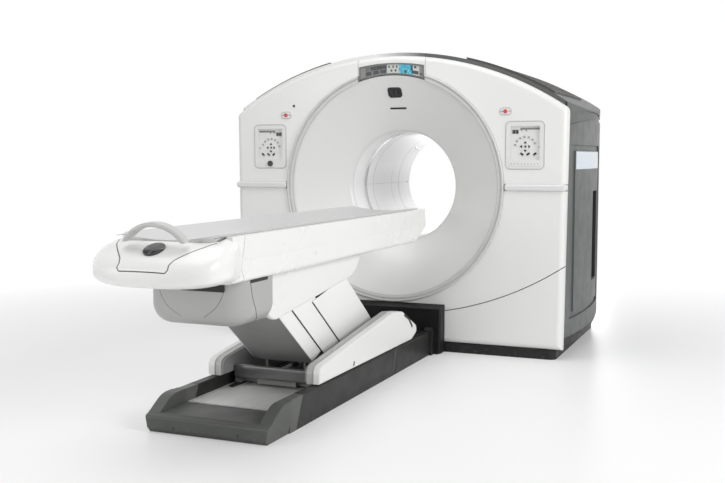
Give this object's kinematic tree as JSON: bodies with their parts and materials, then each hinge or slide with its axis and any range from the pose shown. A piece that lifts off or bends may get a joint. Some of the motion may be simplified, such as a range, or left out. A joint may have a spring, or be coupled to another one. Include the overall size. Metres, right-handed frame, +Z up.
{
  "type": "ct scanner",
  "caption": "Whole body scanner: arched gantry with a wide round bore, and a patient table whose top lifts on a leaning column and slides into the bore.",
  "frame": {"origin": "on the floor under the isocentre, in the plane of the gantry's flat front cover", "axes": "+Z up, +Y from the table into the bore, +X to the right seen from the table's foot"},
  "size_m": [2.2616, 4.1153, 1.864],
  "materials": {
    "cover_white": "satin moulded cover",
    "dish_pale": "satin moulded dish and bore",
    "rim_silver": "silver grey lacquer",
    "window_film": "thin scan window film",
    "panel_pale": "membrane control panel",
    "display_dark": "dark display glass",
    "stop_red": "red mushroom head",
    "side_grey": "satin blue grey",
    "vent_dark": "dark ribbed vent",
    "base_charcoal": "charcoal texture paint",
    "tray_steel": "brushed sheet",
    "frame_steel": "painted weldment",
    "rotor_alloy": "machined",
    "works_metal": "painted housing",
    "detector_dark": "black module housings",
    "panel_grey": "moulded grey cover",
    "table_white": "satin moulded cover",
    "cradle_shell": "lacquered carbon shell"
  },
  "bodies": {
    "gantry": {"front_cover_bridge": "cover_white", "front_cover_upper_left": "cover_white", "front_cover_upper_right": "cover_white", "front_cover_side_left": "cover_white", "front_cover_side_right": "cover_white", "front_cover_lower": "cover_white", "dish_rim": "rim_silver", "dish_cover": "dish_pale", "bore_liner_front": "dish_pale", "scan_window": "window_film", "bore_liner_rear": "dish_pale", "grab_rail_left": "rim_silver", "grab_rail_right": "rim_silver", "control_panel_left": "panel_pale", "control_panel_right": "panel_pale", "display_panel": "display_dark", "alignment_window": "display_dark", "side_cover_left": "side_grey", "side_cover_right": "side_grey", "side_door_left": "side_grey", "side_door_right": "side_grey", "top_cover": "side_grey", "top_vent_left": "vent_dark", "top_vent_right": "vent_dark", "rear_cover": "side_grey", "gantry_plinth": "base_charcoal", "gantry_frame": "frame_steel", "pet_detector_ring": "detector_dark", "drive_motor": "works_metal", "docking_bridge": "base_charcoal", "base_frame": "base_charcoal", "base_end_cap": "base_charcoal", "base_plate": "tray_steel"},
    "rotor": {"rotor_drum": "rotor_alloy", "xray_tube": "works_metal", "detector_arc": "detector_dark", "hv_generator": "works_metal"},
    "pulley": {"drive_pulley": "rotor_alloy"},
    "stop_button_left": {"emergency_stop_left": "stop_red"},
    "stop_button_right": {"emergency_stop_right": "stop_red"},
    "pedestal": {"pedestal_frame": "frame_steel", "shoe_cover_left": "table_white", "shoe_cover_right": "table_white"},
    "front_arm": {"front_arm": "frame_steel", "column_front_panel": "panel_grey", "column_sheet_front_left": "table_white", "column_sheet_front_right": "table_white"},
    "middle_sheets": {"column_sheet_middle_left": "table_white", "column_sheet_middle_right": "table_white"},
    "rear_arm": {"rear_arm": "frame_steel", "column_rear_cover": "table_white"},
    "carriage": {"carriage_frame": "frame_steel", "table_beam": "table_white", "shoulder_cover_left": "table_white", "shoulder_cover_right": "table_white", "belly_cover": "panel_grey", "end_cover": "table_white", "arch_handle": "table_white"},
    "cradle": {"cradle": "cradle_shell"}
  },
  "joints": [
    {"name": "rotor_spin", "type": "hinge", "parent": "gantry", "child": "rotor", "pos_m": [0, 0.42, 1.027], "axis": [0, 1, 0], "continuous": true},
    {"name": "pulley_spin", "type": "hinge", "parent": "gantry", "child": "pulley", "pos_m": [-0.56033, 0.4, 0.52248], "axis": [0, 1, 0], "continuous": true},
    {"name": "stop_push_left", "type": "slide", "parent": "gantry", "child": "stop_button_left", "axis": [0, -1, 0], "range_m": [-0.005, 0], "stiffness_N_per_m": 1500},
    {"name": "stop_push_right", "type": "slide", "parent": "gantry", "child": "stop_button_right", "axis": [0, -1, 0], "range_m": [-0.005, 0], "stiffness_N_per_m": 1500},
    {"name": "pedestal_travel", "type": "slide", "parent": "gantry", "child": "pedestal", "axis": [0, 1, 0], "range_m": [-0.38, 0.2]},
    {"name": "lift", "type": "hinge", "parent": "pedestal", "child": "front_arm", "pos_m": [0, -1.44, 0.215], "axis": [-1, 0, 0], "range_deg": [-25.7, 7.3]},
    {"name": "middle_sheet_turn", "type": "hinge", "parent": "pedestal", "child": "middle_sheets", "pos_m": [0, -1.162, 0.215], "axis": [-1, 0, 0], "range_deg": [-25.7, 7.3]},
    {"name": "rear_arm_turn", "type": "hinge", "parent": "pedestal", "child": "rear_arm", "pos_m": [0, -0.851, 0.215], "axis": [-1, 0, 0], "range_deg": [-25.7, 7.3]},
    {"name": "carriage_level", "type": "hinge", "parent": "front_arm", "child": "carriage", "pos_m": [0, -2.02234, 0.66508], "axis": [1, 0, 0], "range_deg": [-25.7, 7.3]},
    {"name": "cradle_travel", "type": "slide", "parent": "carriage", "child": "cradle", "axis": [0, 1, 0], "range_m": [0, 1.7]}
  ],
  "couplings": [
    {"joint": "pulley_spin", "follows": "rotor_spin", "ratio": 11.5},
    {"joint": "middle_sheet_turn", "follows": "lift", "ratio": 1},
    {"joint": "rear_arm_turn", "follows": "lift", "ratio": 1},
    {"joint": "carriage_level", "follows": "lift", "ratio": 1}
  ]
}
